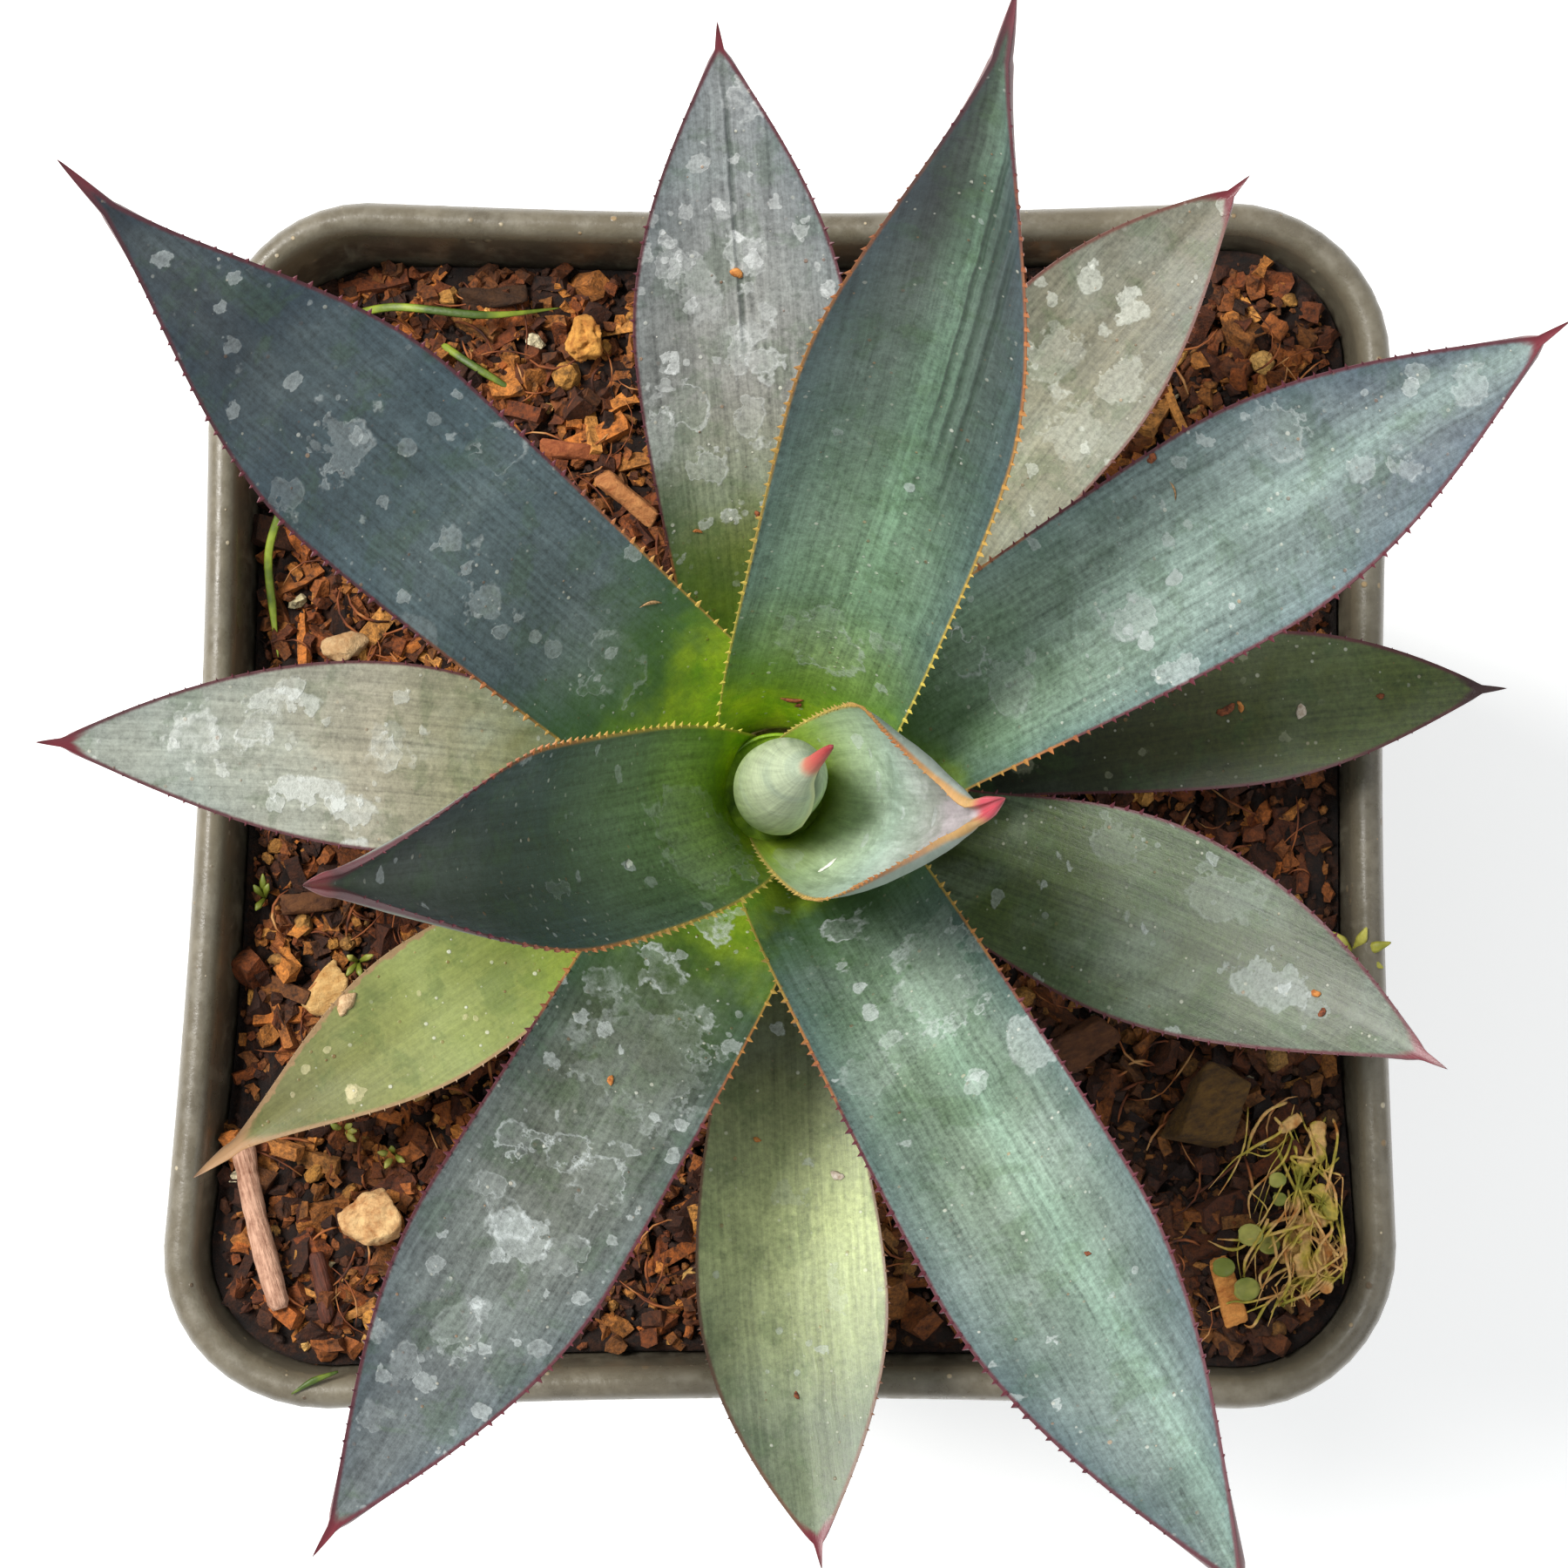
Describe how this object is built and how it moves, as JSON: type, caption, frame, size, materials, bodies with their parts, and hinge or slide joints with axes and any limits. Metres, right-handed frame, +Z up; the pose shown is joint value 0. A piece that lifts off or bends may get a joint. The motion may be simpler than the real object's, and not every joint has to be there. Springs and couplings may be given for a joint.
{
  "type": "potted agave",
  "caption": "Young agave rosette of thick pointed leaves with red toothed edges, in a square plastic nursery pot of bark and pumice mix.",
  "frame": {"origin": "middle of the pot's flat underside, on the surface it stands on", "axes": "+Z up, along the plant's stem; X and Y along the sides of the square pot, with the pot's back at +Y"},
  "size_m": [0.1155, 0.1172, 0.167],
  "materials": {
    "pot_plastic": "satin, dusty, dark olive grey",
    "potting_mix": "damp bark, pumice and perlite",
    "stem": "matt pale green",
    "spear": "waxy grey green",
    "leaf_young": "waxy dark blue green, finely streaked, red margin",
    "leaf_old": "waxy grey green with pale water marks",
    "pumice": "rough, porous",
    "bark": "rough",
    "twig": "dry, split",
    "grass": "satin"
  },
  "bodies": {
    "root": {"pot": "pot_plastic", "potting_mix": "potting_mix", "stem": "stem", "central_spear": "spear", "leaf_01": "leaf_young", "leaf_02": "leaf_young", "leaf_03": "leaf_young", "leaf_04": "leaf_young", "leaf_05": "leaf_young", "leaf_06": "leaf_young", "leaf_07": "leaf_young", "leaf_08": "leaf_old", "leaf_09": "leaf_old", "leaf_10": "leaf_old", "leaf_11": "leaf_old", "leaf_12": "leaf_old", "leaf_13": "leaf_old", "leaf_14": "leaf_old", "pumice_1": "pumice", "pumice_2": "pumice", "pumice_3": "pumice", "bark_chip_1": "bark", "bark_chip_2": "bark", "bark_chip_3": "bark", "bark_chip_4": "bark", "bark_chip_5": "bark", "bark_chip_6": "bark", "bark_chip_7": "bark", "bark_chip_8": "bark", "bark_chip_9": "bark", "bark_chip_10": "bark", "twig_1": "twig", "twig_2": "twig", "grass_blade_1": "grass", "grass_blade_2": "grass", "grass_blade_3": "grass"}
  },
  "joints": []
}
